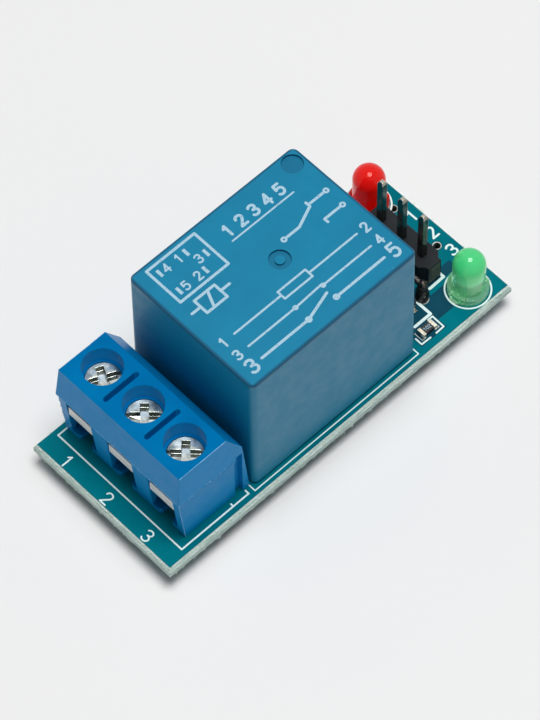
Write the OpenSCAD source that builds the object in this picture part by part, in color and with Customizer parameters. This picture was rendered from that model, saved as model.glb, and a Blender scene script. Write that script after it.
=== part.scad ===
// One-channel relay module: a small circuit board that carries a sealed relay, a three-pole
// screw terminal with rising clamps, a three-pin header, two indicator lamps and the
// surface-mounted driver parts. Millimetres. X runs from the terminal to the header, and the
// origin is at the centre of the board, level with the ends of the soldered pins.

/* [Board] */
// Thickness of the board
board_t = 1.6; // [1:0.1:2.4]
// Board left in front of the terminal block
margin_front = 2.55; // [1:0.05:6]
// Board left behind the lamps, from their centres
margin_rear = 3.05; // [2.2:0.05:6]
// Board left beside the relay
margin_side = 1; // [0.8:0.05:4]
// Depth of the V-score broken along each edge
score_d = 0.25; // [0.1:0.05:0.4]
// Length of the soldered pins below the board
pin_stub = 1.4; // [1.2:0.1:2.5]
// Diameter of the two spare plated holes
spare_hole_d = 0.7; // [0.5:0.05:0.9]

/* [Relay case] */
// Length of the relay cover at its foot
relay_l = 19.4; // [18.8:0.1:21]
// Width of the relay cover at its foot
relay_w = 15.3; // [15:0.1:17]
// Height of the relay above the board
relay_h = 15.94; // [15.6:0.02:18]
// Wall of the cover
cover_wall = 0.6; // [0.4:0.05:0.7]
// Thickness of the cover's roof
cover_roof = 0.7; // [0.4:0.05:0.8]
// Taper of each side from foot to roof
cover_draft = 0.1; // [0.02:0.01:0.2]
// Radius of the cover's upright edges
cover_r = 0.6; // [0.3:0.05:1]
// Diameter of the two ejector marks in the roof
mark_d = 2; // [1.4:0.1:2.6]
// Depth of the ejector marks
mark_depth = 0.25; // [0.1:0.05:0.35]
// Thickness of the relay's base plate
base_t = 1.6; // [1.2:0.1:1.8]
// Height of the base plate's feet
base_foot_h = 0.4; // [0.2:0.05:0.6]

/* [Relay works] */
// Distance of the common pin from the base plate's rear end
com_inset = 1.3; // [1.2:0.05:1.6]
// Distance of the switched pins from the base plate's front end
switch_inset = 2.3; // [2:0.05:2.6]
// Distance of the coil pins and the switched pins from the base plate's sides
pin_inset = 0.85; // [0.75:0.05:1.1]
// Distance from the common pin back to the coil pins
coil_pin_step = 2; // [1.8:0.1:2.2]
// Gap between the bobbin and the blades of the fixed contacts
blade_room = 1.35; // [0.8:0.05:2]
// Gap between the upper fixed blade and the cover's roof
roof_room = 0.66; // [0.4:0.02:1]
// Step from the bobbin flanges' rim in to the winding
flange_rim = 0.35; // [0.2:0.05:0.6]
// Diameter of the iron core
core_d = 3.5; // [3:0.1:4]
// Diameter of the core's pole face
pole_d = 7; // [6:0.1:7.6]
// Thickness of the yoke
yoke_t = 1; // [0.8:0.05:1.2]
// Thickness of the armature
armature_t = 1; // [0.8:0.05:1.1]
// Swing of the armature in degrees
armature_swing = 3; // [2:0.1:3.2]
// Diameter of the moving contact
contact_d = 2.4; // [2:0.1:2.8]
// Thickness of the contact springs and terminals
blade_t = 0.4; // [0.3:0.05:0.5]

/* [Screw terminal] */
// Distance between poles
pitch = 5.08; // [5:0.01:5.3]
// Number of poles
poles = 3; // [3:1:3]
// Height of the terminal housing
term_h = 10.04; // [9.8:0.02:11]
// Depth of the terminal housing at its parting line
term_d = 8.1; // [8:0.05:9]
// Height of the parting line
parting_h = 6.3; // [6.2:0.05:6.6]
// Sideways shift of the terminal block on the board
term_y = 0.35; // [0:0.05:0.4]
// Distance from the housing's front to the screw axes
clamp_x = 3.25; // [3.1:0.05:3.4]
// Diameter of the screwdriver wells
well_d = 3.7; // [3.5:0.05:3.8]
// Width of the cavity that guides each cage
shaft_w = 3.45; // [3.4:0.05:3.6]
// Width of the wire mouths
mouth_w = 3.12; // [3:0.02:3.3]
// Thickness of the feet below the wire mouths
foot_h = 0.7; // [0.5:0.05:1]
// Step at the parting line, from the housing's upper half in to its lower half
part_step = 0.1; // [0.05:0.01:0.15]
// Diameter of the screw heads
head_d = 3.2; // [3:0.05:3.3]
// Thickness of the screw heads
head_h = 0.8; // [0.7:0.05:1]
// Running clearance of the screw heads in their pockets, on the radius
head_gap = 0.06; // [0.03:0.01:0.1]
// Depth of the screw heads below the housing's top
head_sink = 1.94; // [1.8:0.02:2]
// Thread diameter of the clamping screws
thread_d = 2.4; // [2:0.05:2.4]
// Running clearance of the screw thread, on the radius
thread_gap = 0.05; // [0.02:0.01:0.1]
// Outer width of the clamping cages
cage_w = 3.3; // [3.2:0.02:3.36]
// Thickness of the cages' side walls
cage_wall = 0.38; // [0.3:0.01:0.38]
// Sheet thickness of the cages
cage_t = 0.6; // [0.5:0.05:0.65]
// Depth of the lip along each cage's front edge
lip_h = 1.15; // [0.8:0.05:1.3]
// Thickness of the fixed contact tongue
tongue_t = 0.4; // [0.3:0.05:0.5]
// Gap left between parts that meet inside the clamp
clamp_gap = 0.05; // [0.03:0.01:0.1]

/* [Pin header] */
// Distance between header pins
header_pitch = 2.54; // [2.5:0.01:2.6]
// Number of header pins
header_pins = 3; // [3:1:3]
// Length of the stub left where the header strip was snapped off
snap_stub = 0.35; // [0.2:0.05:0.5]
// Thickness of the square header pins
header_pin_t = 0.64; // [0.5:0.02:0.7]
// Height of the header pins above the board
header_pin_h = 8.5; // [7:0.1:10]
// Sideways shift of the header on the board
header_y = 0.6; // [0:0.05:1]

/* [Lamps] */
// Diameter of the lamp bodies
lamp_d = 3; // [2.8:0.05:3.2]
// Diameter of the lamp flanges
flange_d = 3.75; // [3.6:0.05:3.9]
// Thickness of the lamp flanges
flange_h = 0.9; // [0.6:0.05:1.2]
// Height of the lamps above the board
lamp_h = 5.45; // [5:0.05:6]
// Distance of the lamp centres from the board's long edges
lamp_inset = 2.4; // [2.3:0.05:3]
// Thickness of the square lamp leads
lead_t = 0.5; // [0.4:0.05:0.55]

/* [Driver parts] */
// Room between the relay and the header
bay_w = 5.1; // [5:0.05:6]
// Distance from the header pins to the lamp centres along the board
lamp_step = 1.5; // [1.4:0.05:2]
// Length of the chip resistors
chip_l = 1.6; // [1.5:0.05:1.7]
// Width of the chip resistors
chip_w = 0.8; // [0.7:0.05:0.9]
// Height of the chip resistors
chip_h = 0.5; // [0.4:0.05:0.6]
// Length of the resistors' end caps
cap_l = 0.32; // [0.25:0.01:0.4]
// Plating thickness of the end caps
cap_t = 0.04; // [0.03:0.01:0.06]
// Length of the transistor body
sot_l = 2.9; // [2.8:0.05:3]
// Width of the transistor body
sot_w = 1.3; // [1.2:0.05:1.4]
// Diameter of the diode body
diode_d = 1.7; // [1.5:0.05:1.8]
// Length of the diode body
diode_l = 3.8; // [3.5:0.1:4.2]
// Distance between the diode's holes
diode_span = 7.62; // [7.5:0.01:7.7]
// Thickness of the diode's leads
diode_lead_d = 0.6; // [0.5:0.02:0.65]
// Height of the diode body's underside above the board
diode_lift = 1.4; // [0.9:0.05:1.6]

/* [Hidden] */

$fn = 64;

// A sliver that lets a cut run past the face it opens
eps = 0.01;
// Small gap between parts that are pressed or glued together
seat_gap = 0.02;

// Stations along X, counted from the board's front edge
relay_gap = 0.24;
board_l = margin_front + term_d + relay_gap + relay_l + bay_w + header_pitch / 2 + lamp_step + margin_rear;
board_w = relay_w + 2 * margin_side;
term_x = margin_front - board_l / 2;
relay_x = term_x + term_d + relay_gap + relay_l / 2;
header_x = relay_x + relay_l / 2 + bay_w + header_pitch / 2;
lamp_x = header_x + lamp_step;
lamp_y = board_w / 2 - lamp_inset;
top_z = pin_stub + board_t;

// Relay, counted from the centre of its foot on the board
roof_z = relay_h - cover_roof;
base_l = relay_l - 2 * cover_wall - 4 * cover_draft;
base_w = relay_w - 2 * cover_wall - 4 * cover_draft;
base_top = base_foot_h + base_t;
com_x = base_l / 2 - com_inset;
switch_x = switch_inset - base_l / 2;
coil_pin_x = com_x - coil_pin_step;
relay_pin_y = base_w / 2 - pin_inset;
relay_pin_t = 0.5;
relay_pin_w = 1;
yoke_w = 8;
yoke_x = com_x - yoke_t / 2;
flange_t = 0.7;
blade_w = 2.4;
bobbin_front = switch_x + blade_w / 2 + blade_room;
bobbin_rear = yoke_x - 0.25;
bobbin_l = bobbin_rear - bobbin_front;
bobbin_w = base_w - 0.6;
bobbin_x = (bobbin_front + bobbin_rear) / 2;
coil_d = bobbin_l - 2 * flange_rim;
flange_w = coil_d + 0.6;
tube_d = core_d + 1.6;
armature_w = 9;

// Heights of the works, counted down from the roof to the winding
button_h = 0.5;
spring_t = 0.2;
spring_w = 4;
nc_low = roof_z - roof_room - blade_t - button_h;
moving_high = nc_low - seat_gap;
spring_z = moving_high - button_h - spring_t;
moving_low = spring_z - button_h;
contact_reach = yoke_x - switch_x + contact_d / 2;
no_high = moving_low - contact_reach * sin(armature_swing) - 0.03;
yoke_top = spring_z - armature_t;
pole_gap = (yoke_x - bobbin_x + pole_d / 2) * sin(armature_swing) + 0.08;
pole_t = 0.5;
pole_z = yoke_top - pole_gap - pole_t;
coil_top = pole_z - flange_t;
coil_z = base_top + yoke_t + flange_t;
coil_h = coil_top - coil_z;

// Terminal block, counted up from the board
head_top = term_h - head_sink;
head_low = head_top - head_h;
well_floor = head_top + 0.1;
cage_top = head_low - clamp_gap;
tongue_low = 5.05;
tongue_top = tongue_low + tongue_t;
cage_floor = tongue_low - clamp_gap;
cage_back = 1.8;
cage_front = -2.1;
lip_front = -2.9;
shaft_top = head_low + 0.1;
tail_x = 2.7;
term_w = poles * pitch - 0.1;
lip_w = mouth_w - 0.16;
foot_lean = 0.6;
foot_l = 1;
notch_w = 1.25;
end_draft = 0.12;
groove_x = 6.55;
groove_w = 0.8;
groove_depth = 0.5;

// Header and diode
header_body = header_pitch;
diode_x = header_x - header_body / 2 - seat_gap - diode_d / 2;
diode_y = -0.39;
diode_z = diode_d / 2 + diode_lift;
smd_x = relay_x + relay_l / 2 + 2.1;

// Pins through the board: [x, y, radius of the plated hole]
function pole_y(i) = term_y + pitch * ((poles - 1) / 2 - i);
function header_pin_y(i) = header_y + header_pitch * ((header_pins - 1) / 2 - i);
relay_hole = 0.7;
term_hole = 0.65;
header_hole = 0.5;
lead_hole = 0.45;
lead_x = 1.27;
relay_pin_places = [
    [com_x, 0], [coil_pin_x, relay_pin_y], [coil_pin_x, -relay_pin_y],
    [switch_x, relay_pin_y], [switch_x, -relay_pin_y]
];
holes = concat(
    [for (p = relay_pin_places) [relay_x + p[0], p[1], relay_hole]],
    [for (i = [0:poles - 1]) [term_x + clamp_x + tail_x, pole_y(i), term_hole]],
    [for (i = [0:header_pins - 1]) [header_x, header_pin_y(i), header_hole]],
    [for (side = [-1, 1], s = [-1, 1]) [lamp_x + s * lead_x, side * lamp_y, lead_hole]],
    [for (s = [-1, 1]) [diode_x, diode_y + s * diode_span / 2, lead_hole]]
);
spare_hole_x = lamp_x + 1.23;
spare_holes = [[spare_hole_x, lamp_y - 1.9], [spare_hole_x, lamp_y - 7.4]];

module box(x0, x1, y0, y1, z0, z1) {
    translate([x0, y0, z0])
        cube([x1 - x0, y1 - y0, z1 - z0]);
}

module round_slab(l, w, r, h) {
    linear_extrude(h)
        union() {
            square([l - 2 * r, w], center = true);
            square([l, w - 2 * r], center = true);
            for (sx = [-1, 1], sy = [-1, 1])
                translate([sx * (l / 2 - r), sy * (w / 2 - r)])
                    circle(r);
        }
}

module on_board() {
    translate([0, 0, top_z])
        children();
}

module on_relay() {
    translate([relay_x, 0, top_z])
        children();
}

module at_pole(i) {
    translate([term_x + clamp_x, pole_y(i), top_z])
        children();
}

// ---- Circuit board ----

// Section of the board with the broken V-score along both edges
module board_section(span) {
    flat = span / 2 - score_d;
    full = span / 2;
    third = board_t / 3;
    polygon([
        [-flat, 0], [flat, 0], [full, third], [full, board_t - third],
        [flat, board_t], [-flat, board_t], [-full, board_t - third], [-full, third]
    ]);
}

module pcb() {
    color([0.02, 0.45, 0.5])
        translate([0, 0, pin_stub])
            difference() {
                intersection() {
                    rotate([90, 0, 0])
                        linear_extrude(board_w, center = true)
                            board_section(board_l);
                    rotate([90, 0, 90])
                        linear_extrude(board_l, center = true)
                            board_section(board_w);
                }
                for (h = holes)
                    translate([h[0], h[1], -eps])
                        cylinder(r = h[2], h = board_t + 2 * eps);
                for (h = spare_holes)
                    translate([h[0], h[1], -eps])
                        cylinder(d = spare_hole_d, h = board_t + 2 * eps);
            }
}

// Every pin as it passes the board, which the solder is moulded round
module all_pins() {
    relay_com_pin();
    relay_coil_pins();
    relay_nc_terminal();
    relay_no_terminal();
    for (i = [0:poles - 1])
        terminal_contact(i);
    for (i = [0:header_pins - 1])
        header_pin(i);
    led_leads(1);
    led_leads(-1);
    diode_leads();
}

module solder_joints() {
    joint_h = 0.9;
    skirt_w = 0.35;
    color([0.75, 0.76, 0.78])
        difference() {
            for (h = holes)
                translate([h[0], h[1], pin_stub - joint_h])
                    cylinder(r1 = h[2] * 0.8, r2 = h[2] + skirt_w, h = joint_h);
            all_pins();
        }
}

// ---- Relay ----

module relay_cover() {
    lip_z = 0.25;
    edge = 0.15;
    top_l = relay_l - 2 * cover_draft;
    top_w = relay_w - 2 * cover_draft;
    color([0.13, 0.49, 0.67])
        on_relay()
            difference() {
                hull() {
                    translate([0, 0, lip_z])
                        round_slab(relay_l, relay_w, cover_r, eps, $fn = 32);
                    translate([0, 0, relay_h - edge])
                        round_slab(top_l, top_w, cover_r, eps, $fn = 32);
                    translate([0, 0, relay_h - eps])
                        round_slab(top_l - edge, top_w - edge, cover_r, eps, $fn = 32);
                }
                cavity_l = base_l + 2 * seat_gap;
                cavity_w = base_w + 2 * seat_gap;
                box(-cavity_l / 2, cavity_l / 2, -cavity_w / 2, cavity_w / 2, -eps, roof_z);
                translate([relay_l / 2 - 1.45, relay_w / 2 - 1.4, relay_h - mark_depth])
                    cylinder(d = mark_d, h = 1);
                translate([0.8, 0, relay_h - mark_depth])
                    difference() {
                        cylinder(d = mark_d, h = 1);
                        cylinder(d = mark_d * 0.45, h = mark_depth - 0.05);
                    }
            }
}

module relay_base() {
    inset = 1;
    hole_t = relay_pin_t + 2 * seat_gap;
    hole_w = relay_pin_w + 2 * seat_gap;
    color([0.1, 0.38, 0.6])
        on_relay()
            difference() {
                union() {
                    box(-base_l / 2, base_l / 2, -base_w / 2, base_w / 2, base_foot_h, base_top);
                    for (sx = [-1, 1], sy = [-1, 1])
                        translate([sx * (base_l / 2 - inset), sy * (base_w / 2 - inset), 0])
                            cylinder(d = 1.2, h = base_foot_h + eps);
                }
                for (p = relay_pin_places)
                    translate([p[0], p[1], base_top / 2])
                        cube([hole_t, hole_w, base_top + 1], center = true);
            }
}

module relay_bobbin() {
    foot_w = 1.6;
    foot_in = flange_w / 2 - 0.8;
    foot_out = bobbin_w / 2;
    slot_low = coil_z - 2.5;
    slot_top = coil_z + 0.5;
    half_pin = relay_pin_t / 2;
    color([0.9, 0.9, 0.86])
        on_relay()
            difference() {
                union() {
                    for (z = [coil_z - flange_t, coil_top])
                        translate([bobbin_x, 0, z])
                            round_slab(bobbin_l, flange_w, 0.8, flange_t);
                    translate([bobbin_x, 0, coil_z])
                        cylinder(d = tube_d, h = coil_h);
                    for (s = [-1, 1])
                        box(coil_pin_x - foot_w, coil_pin_x + foot_w / 2, min(s * foot_in, s * foot_out),
                            max(s * foot_in, s * foot_out), base_top, coil_z);
                }
                translate([bobbin_x, 0, 0])
                    cylinder(d = core_d + 2 * seat_gap, h = relay_h);
                for (s = [-1, 1])
                    box(coil_pin_x - half_pin, coil_pin_x + half_pin, s * relay_pin_y - half_pin,
                        s * relay_pin_y + half_pin, slot_low, slot_top);
                box(-relay_l, relay_l, -yoke_w / 2 - seat_gap, yoke_w / 2 + seat_gap, 0, base_top + yoke_t);
            }
}

module relay_coil() {
    color([0.72, 0.35, 0.15])
        on_relay()
            translate([bobbin_x, 0, coil_z + seat_gap])
                difference() {
                    cylinder(d = coil_d, h = coil_h - 2 * seat_gap);
                    translate([0, 0, -1])
                        cylinder(d = tube_d + 2 * seat_gap, h = coil_h + 2);
                }
}

module relay_core() {
    rivet_d = core_d - 0.9;
    color([0.6, 0.6, 0.62])
        on_relay()
            translate([bobbin_x, 0, 0]) {
                translate([0, 0, base_top + seat_gap])
                    cylinder(d = rivet_d, h = yoke_t);
                translate([0, 0, base_top + yoke_t])
                    cylinder(d = core_d, h = pole_z - base_top - yoke_t + eps);
                translate([0, 0, pole_z])
                    cylinder(d = pole_d, h = pole_t);
            }
}

module relay_yoke() {
    rivet_d = core_d - 0.9;
    back = yoke_x + yoke_t;
    half = yoke_w / 2;
    color([0.66, 0.66, 0.68])
        on_relay()
            difference() {
                union() {
                    box(bobbin_x - core_d, back, -half, half, base_top, base_top + yoke_t);
                    box(yoke_x, back, -half, half, base_top, yoke_top);
                }
                translate([bobbin_x, 0, base_top - eps])
                    cylinder(d = rivet_d + 2 * seat_gap, h = yoke_t + 2 * eps);
            }
}

// Leaf riveted to the back of the yoke, bent over the armature's heel
module relay_hinge_spring() {
    leaf_w = 3;
    leaf_rise = 3;
    leaf_low = base_top + leaf_rise;
    heel = 0.9;
    back = yoke_x + yoke_t;
    bend_z = spring_z + 0.15;
    color([0.8, 0.68, 0.35])
        on_relay() {
            box(back, back + spring_t, -leaf_w / 2, leaf_w / 2, leaf_low, bend_z + spring_t);
            box(back - heel, back + spring_t, -leaf_w / 2, leaf_w / 2, bend_z, bend_z + spring_t);
        }
}

module relay_armature() {
    reach = bobbin_x - pole_d / 2 - 0.6;
    color([0.7, 0.7, 0.72])
        on_relay()
            box(reach, yoke_x + yoke_t - seat_gap, -armature_w / 2, armature_w / 2, yoke_top, spring_z);
}

// Springy strip on the armature that carries the moving contact
module relay_contact_spring() {
    tip = switch_x - contact_d / 2 - 0.3;
    root = bobbin_x + 3;
    color([0.82, 0.7, 0.38])
        on_relay()
            difference() {
                box(tip, root, -spring_w / 2, spring_w / 2, spring_z, spring_z + spring_t);
                translate([switch_x, 0, spring_z - 1])
                    cylinder(d = contact_d / 2 + 2 * seat_gap, h = 2);
            }
}

module relay_moving_contact() {
    color([0.85, 0.85, 0.84])
        on_relay()
            translate([switch_x, 0, 0]) {
                translate([0, 0, moving_low])
                    cylinder(d = contact_d, h = button_h);
                translate([0, 0, moving_low])
                    cylinder(d = contact_d / 2, h = moving_high - moving_low);
                translate([0, 0, spring_z + spring_t])
                    cylinder(d = contact_d, h = button_h);
            }
}

// Blade that rises from a pin beside the chamber and bends in over the contact
module fixed_blade(side, z0, z1) {
    y_out = side * relay_pin_y;
    y_in = -side * 1.2;
    half = relay_pin_w / 2;
    low_x = switch_x - blade_w / 2;
    high_x = switch_x + blade_w / 2;
    box(switch_x - relay_pin_t / 2, switch_x + relay_pin_t / 2, y_out - half, y_out + half,
        -top_z, base_top + eps);
    box(low_x, high_x, y_out - blade_t / 2, y_out + blade_t / 2, base_top, z1);
    box(low_x, high_x, min(y_out, y_in), max(y_out, y_in), z0, z1);
}

module relay_nc_terminal() {
    low = nc_low + button_h;
    color([0.78, 0.6, 0.42])
        on_relay()
            fixed_blade(1, low, low + blade_t);
}

module relay_nc_contact() {
    color([0.85, 0.85, 0.84])
        on_relay()
            translate([switch_x, 0, nc_low])
                cylinder(d = contact_d, h = button_h);
}

module relay_no_terminal() {
    high = no_high - button_h;
    color([0.78, 0.6, 0.42])
        on_relay()
            fixed_blade(-1, high - blade_t, high);
}

module relay_no_contact() {
    color([0.85, 0.85, 0.84])
        on_relay()
            translate([switch_x, 0, no_high - button_h])
                cylinder(d = contact_d, h = button_h);
}

module relay_com_pin() {
    color([0.78, 0.78, 0.8])
        on_relay()
            box(com_x - relay_pin_t / 2, com_x + relay_pin_t / 2, -relay_pin_w / 2, relay_pin_w / 2,
                -top_z, base_top);
}

module relay_coil_pins() {
    half = relay_pin_t / 2;
    color([0.78, 0.78, 0.8])
        on_relay()
            for (s = [-1, 1])
                box(coil_pin_x - half, coil_pin_x + half, s * relay_pin_y - half, s * relay_pin_y + half,
                    -top_z, coil_z - 0.1);
}

// ---- Screw terminal ----

// Side view of the housing, from its front (X = 0) to its back
module housing_profile() {
    nose_lean = 0.4;
    ridge_x = 5.75;
    heel_x = 7.4;
    heel_z = 7.3;
    polygon([
        [part_step + foot_lean, 0], [part_step, parting_h], [0, parting_h], [nose_lean, term_h],
        [ridge_x, term_h], [heel_x, heel_z], [term_d, 0]
    ]);
}

// End view of the housing: the lower half stands in, and the upper half's ends have a draft
module housing_section() {
    high = term_w / 2;
    low = high - part_step;
    top = high - end_draft;
    polygon([
        [-low, 0], [low, 0], [low, parting_h], [high, parting_h],
        [top, term_h], [-top, term_h], [-high, parting_h], [-low, parting_h]
    ]);
}

// Body of the housing before it is hollowed, with the rail behind the groove at both ends
module housing_body() {
    rail_x = groove_x + groove_w;
    intersection() {
        rotate([90, 0, 0])
            linear_extrude(term_w, center = true)
                housing_profile();
        union() {
            rotate([90, 0, 90])
                linear_extrude(term_d + eps)
                    housing_section();
            box(rail_x, term_d + eps, -term_w / 2, term_w / 2, 0, parting_h + eps);
        }
    }
}

// Everything cut out for one pole, about its screw axis
module pole_cutouts() {
    front = -clamp_x - 1;
    foot_front = part_step + foot_lean - clamp_x;
    foot_back = foot_front + foot_l;
    shaft_front = cage_front - 0.15;
    shaft_back = cage_back + 0.15;
    corner_r = 0.35;
    notch = notch_w / 2;
    tail_room = 1.1;
    translate([0, 0, cage_top])
        cylinder(r = head_d / 2 + head_gap, h = term_h);
    translate([0, 0, well_floor])
        cylinder(d = well_d, h = term_h);
    box(shaft_front, shaft_back, -shaft_w / 2, shaft_w / 2, foot_h, shaft_top);
    box(foot_back, shaft_back, -shaft_w / 2, shaft_w / 2, -eps, foot_h + eps);
    box(front, shaft_front + eps, -mouth_w / 2, mouth_w / 2, foot_h, parting_h);
    box(front, foot_back + eps, -notch, notch, -eps, foot_h + eps);
    for (s = [-1, 1])
        translate([foot_front, s * notch, -eps])
            linear_extrude(foot_h + 2 * eps)
                difference() {
                    translate([0, s * corner_r / 2])
                        square([2 * corner_r, corner_r], center = true);
                    translate([corner_r, s * corner_r])
                        circle(corner_r);
                }
    box(cage_back, tail_x + 0.5, -tail_room, tail_room, -eps, tongue_top + seat_gap);
}

module terminal_housing() {
    slot_w = 0.5;
    slot_l = 4;
    slot_depth = 1.2;
    rib_t = 0.42;
    rib_gap = 0.06;
    undercut = 0.12;
    root = -part_step - eps;
    color([0, 0.45, 0.74])
        on_board()
            translate([term_x, term_y, 0])
                difference() {
                    union() {
                        housing_body();
                        translate([groove_x, term_w / 2, 0])
                            linear_extrude(parting_h - rib_gap)
                                polygon([
                                    [rib_gap, root], [groove_w - rib_gap, root], [groove_w - rib_gap, rib_t],
                                    [rib_gap - undercut, rib_t], [rib_gap, 0]
                                ]);
                    }
                    for (i = [0:poles - 1])
                        translate([clamp_x, pole_y(i) - term_y, 0])
                            pole_cutouts();
                    for (i = [0:poles - 2])
                        translate([clamp_x - 0.2, pole_y(i) - term_y - pitch / 2, term_h - slot_depth]) {
                            translate([-slot_l / 2 + slot_w / 2, -slot_w / 2, 0])
                                cube([slot_l - slot_w, slot_w, slot_depth + 1]);
                            for (s = [-1, 1])
                                translate([s * (slot_l - slot_w) / 2, 0, 0])
                                    cylinder(d = slot_w, h = slot_depth + 1);
                        }
                    translate([groove_x, -term_w / 2, -eps])
                        linear_extrude(parting_h + eps)
                            polygon([
                                [0, -eps], [groove_w, -eps], [groove_w, groove_depth],
                                [-undercut, groove_depth], [0, 0]
                            ]);
                }
}

module terminal_cage(i) {
    inner_w = cage_w - 2 * cage_wall;
    lip_t = 0.5;
    color([0.82, 0.82, 0.84])
        at_pole(i)
            difference() {
                union() {
                    box(cage_front, cage_back, -cage_w / 2, cage_w / 2, cage_floor - cage_t, cage_top);
                    box(lip_front, cage_front + eps, -lip_w / 2, lip_w / 2, cage_floor - cage_t, cage_floor);
                    box(lip_front, lip_front + lip_t, -lip_w / 2, lip_w / 2, cage_floor - lip_h, cage_floor);
                }
                box(cage_front - 1, cage_back + 1, -inner_w / 2, inner_w / 2, cage_floor, cage_top - cage_t);
                translate([0, 0, cage_top - cage_t - eps])
                    cylinder(d = thread_d + 2 * thread_gap, h = 1);
            }
}

module terminal_screw(i) {
    slot_turn = [-25, -44, -46];
    cross_w = 0.75;
    cross_l = 2.5;
    slot_w = 0.5;
    drive_depth = 0.7;
    color([0.8, 0.82, 0.82])
        at_pole(i)
            difference() {
                union() {
                    translate([0, 0, tongue_top + clamp_gap])
                        cylinder(d = thread_d, h = head_low - tongue_top);
                    translate([0, 0, head_low])
                        cylinder(d = head_d, h = head_h);
                }
                translate([0, 0, head_top])
                    rotate([0, 0, slot_turn[i]]) {
                        cube([head_d + 1, slot_w, drive_depth], center = true);
                        for (a = [0, 90])
                            rotate([0, 0, a])
                                cube([cross_l, cross_w, 2 * drive_depth], center = true);
                    }
            }
}

// Tongue over the wire, with a tail that runs down behind the cage to the board
module terminal_contact(i) {
    tongue_w = 1.6;
    pin_d = 1;
    color([0.78, 0.78, 0.8])
        at_pole(i) {
            box(-1.7, tail_x + tongue_t / 2, -tongue_w / 2, tongue_w / 2, tongue_low, tongue_top);
            box(tail_x - tongue_t / 2, tail_x + tongue_t / 2, -tongue_w / 2, tongue_w / 2, 0, tongue_top);
            translate([tail_x, 0, -top_z])
                cylinder(d = pin_d, h = top_z + eps);
        }
}

// ---- Header ----

module header_strip() {
    corner = 0.5;
    half = header_body / 2;
    end_y = header_pin_y(header_pins - 1) - half;
    color([0.08, 0.08, 0.08])
        on_board()
            difference() {
                union() {
                    for (i = [0:header_pins - 1])
                        translate([header_x, header_pin_y(i), 0])
                            linear_extrude(header_body)
                                polygon([
                                    [-half + corner, -half], [half - corner, -half], [half, -half + corner],
                                    [half, half - corner], [half - corner, half], [-half + corner, half],
                                    [-half, half - corner], [-half, -half + corner]
                                ]);
                    box(header_x - half + corner, header_x + half - corner, end_y - snap_stub, end_y + eps,
                        0, header_body);
                }
                for (i = [0:header_pins - 1])
                    translate([header_x, header_pin_y(i), header_body / 2])
                        cube([header_pin_t, header_pin_t, header_body + 1], center = true);
            }
}

// Side view of a header pin, which is the same from two sides
module header_pin_profile() {
    tip = 0.3;
    nose = header_pin_t / 2 - tip / 2;
    half = header_pin_t / 2;
    end = top_z + header_pin_h;
    polygon([
        [-nose, 0], [nose, 0], [half, tip], [half, end - tip],
        [nose, end], [-nose, end], [-half, end - tip], [-half, tip]
    ]);
}

module header_pin(i) {
    color([0.75, 0.76, 0.74])
        translate([header_x, header_pin_y(i), 0])
            intersection() {
                rotate([90, 0, 0])
                    linear_extrude(header_pin_t, center = true)
                        header_pin_profile();
                rotate([90, 0, 90])
                    linear_extrude(header_pin_t, center = true)
                        header_pin_profile();
            }
}

// ---- Lamps ----

// One lead and what it carries inside the lens: the cathode's cup or the anode's post
module led_lead(cathode) {
    s = cathode ? 1 : -1;
    frame_z = 0.8;
    half = lead_t / 2;
    top = cathode ? 2.9 : 2.7;
    inner = cathode ? -0.1 : 0.25;
    outer = 0.95;
    cup_x = 0.4;
    cup_h = 0.25;
    translate([s * lead_x, 0, 0])
        box(-half, half, -half, half, -top_z, frame_z + eps);
    box(min(s * inner, s * (lead_x + half)), max(s * inner, s * (lead_x + half)), -half, half,
        frame_z - lead_t, frame_z);
    difference() {
        box(min(s * inner, s * outer), max(s * inner, s * outer), -half, half, frame_z - eps, top);
        if (cathode)
            translate([s * cup_x, 0, top - cup_h])
                cylinder(r1 = 0.12, r2 = 0.22, h = cup_h + eps);
    }
}

module at_lamp(side) {
    translate([lamp_x, side * lamp_y, top_z])
        children();
}

module led_leads(side) {
    at_lamp(side) {
        led_lead(true);
        led_lead(false);
    }
}

// Epoxy body: flange with the cathode's flat, barrel and round top
module led_lens(side) {
    r = lamp_d / 2;
    at_lamp(side)
        difference() {
            union() {
                cylinder(d = flange_d, h = flange_h);
                cylinder(r = r, h = lamp_h - r);
                translate([0, 0, lamp_h - r])
                    sphere(r);
            }
            translate([r + 0.1, -flange_d, -1])
                cube([flange_d, 2 * flange_d, flange_h + 1 + eps]);
            led_lead(true);
            led_lead(false);
        }
}

module led_green_lens() {
    color([0.25, 0.75, 0.45])
        led_lens(-1);
}

module led_red_lens() {
    color([0.95, 0.1, 0.08])
        led_lens(1);
}

module led_part(side, cathode) {
    color([0.72, 0.73, 0.74])
        at_lamp(side)
            led_lead(cathode);
}

// ---- Driver parts ----

chip_x = smd_x + 0.14;
chip_inset = 1.87;
resistor_places = [[chip_x, chip_inset - board_w / 2], [chip_x, 2.6], [chip_x, 5.2]];

module resistor(i) {
    color([0.12, 0.12, 0.12])
        on_board()
            translate([resistor_places[i][0], resistor_places[i][1], cap_t])
                translate([-chip_l / 2 + cap_t, -chip_w / 2, 0])
                    cube([chip_l - 2 * cap_t, chip_w, chip_h - 2 * cap_t]);
}

module resistor_caps() {
    color([0.85, 0.85, 0.83])
        difference() {
            on_board()
                for (p = resistor_places, s = [-1, 1])
                    translate([p[0] + s * (chip_l - cap_l) / 2, p[1], chip_h / 2])
                        cube([cap_l, chip_w + 2 * cap_t, chip_h], center = true);
            for (i = [0:len(resistor_places) - 1])
                resistor(i);
        }
}

sot_h = 1;
sot_lift = 0.1;
sot_x = smd_x - 0.2;
sot_y = -3.6;

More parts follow.
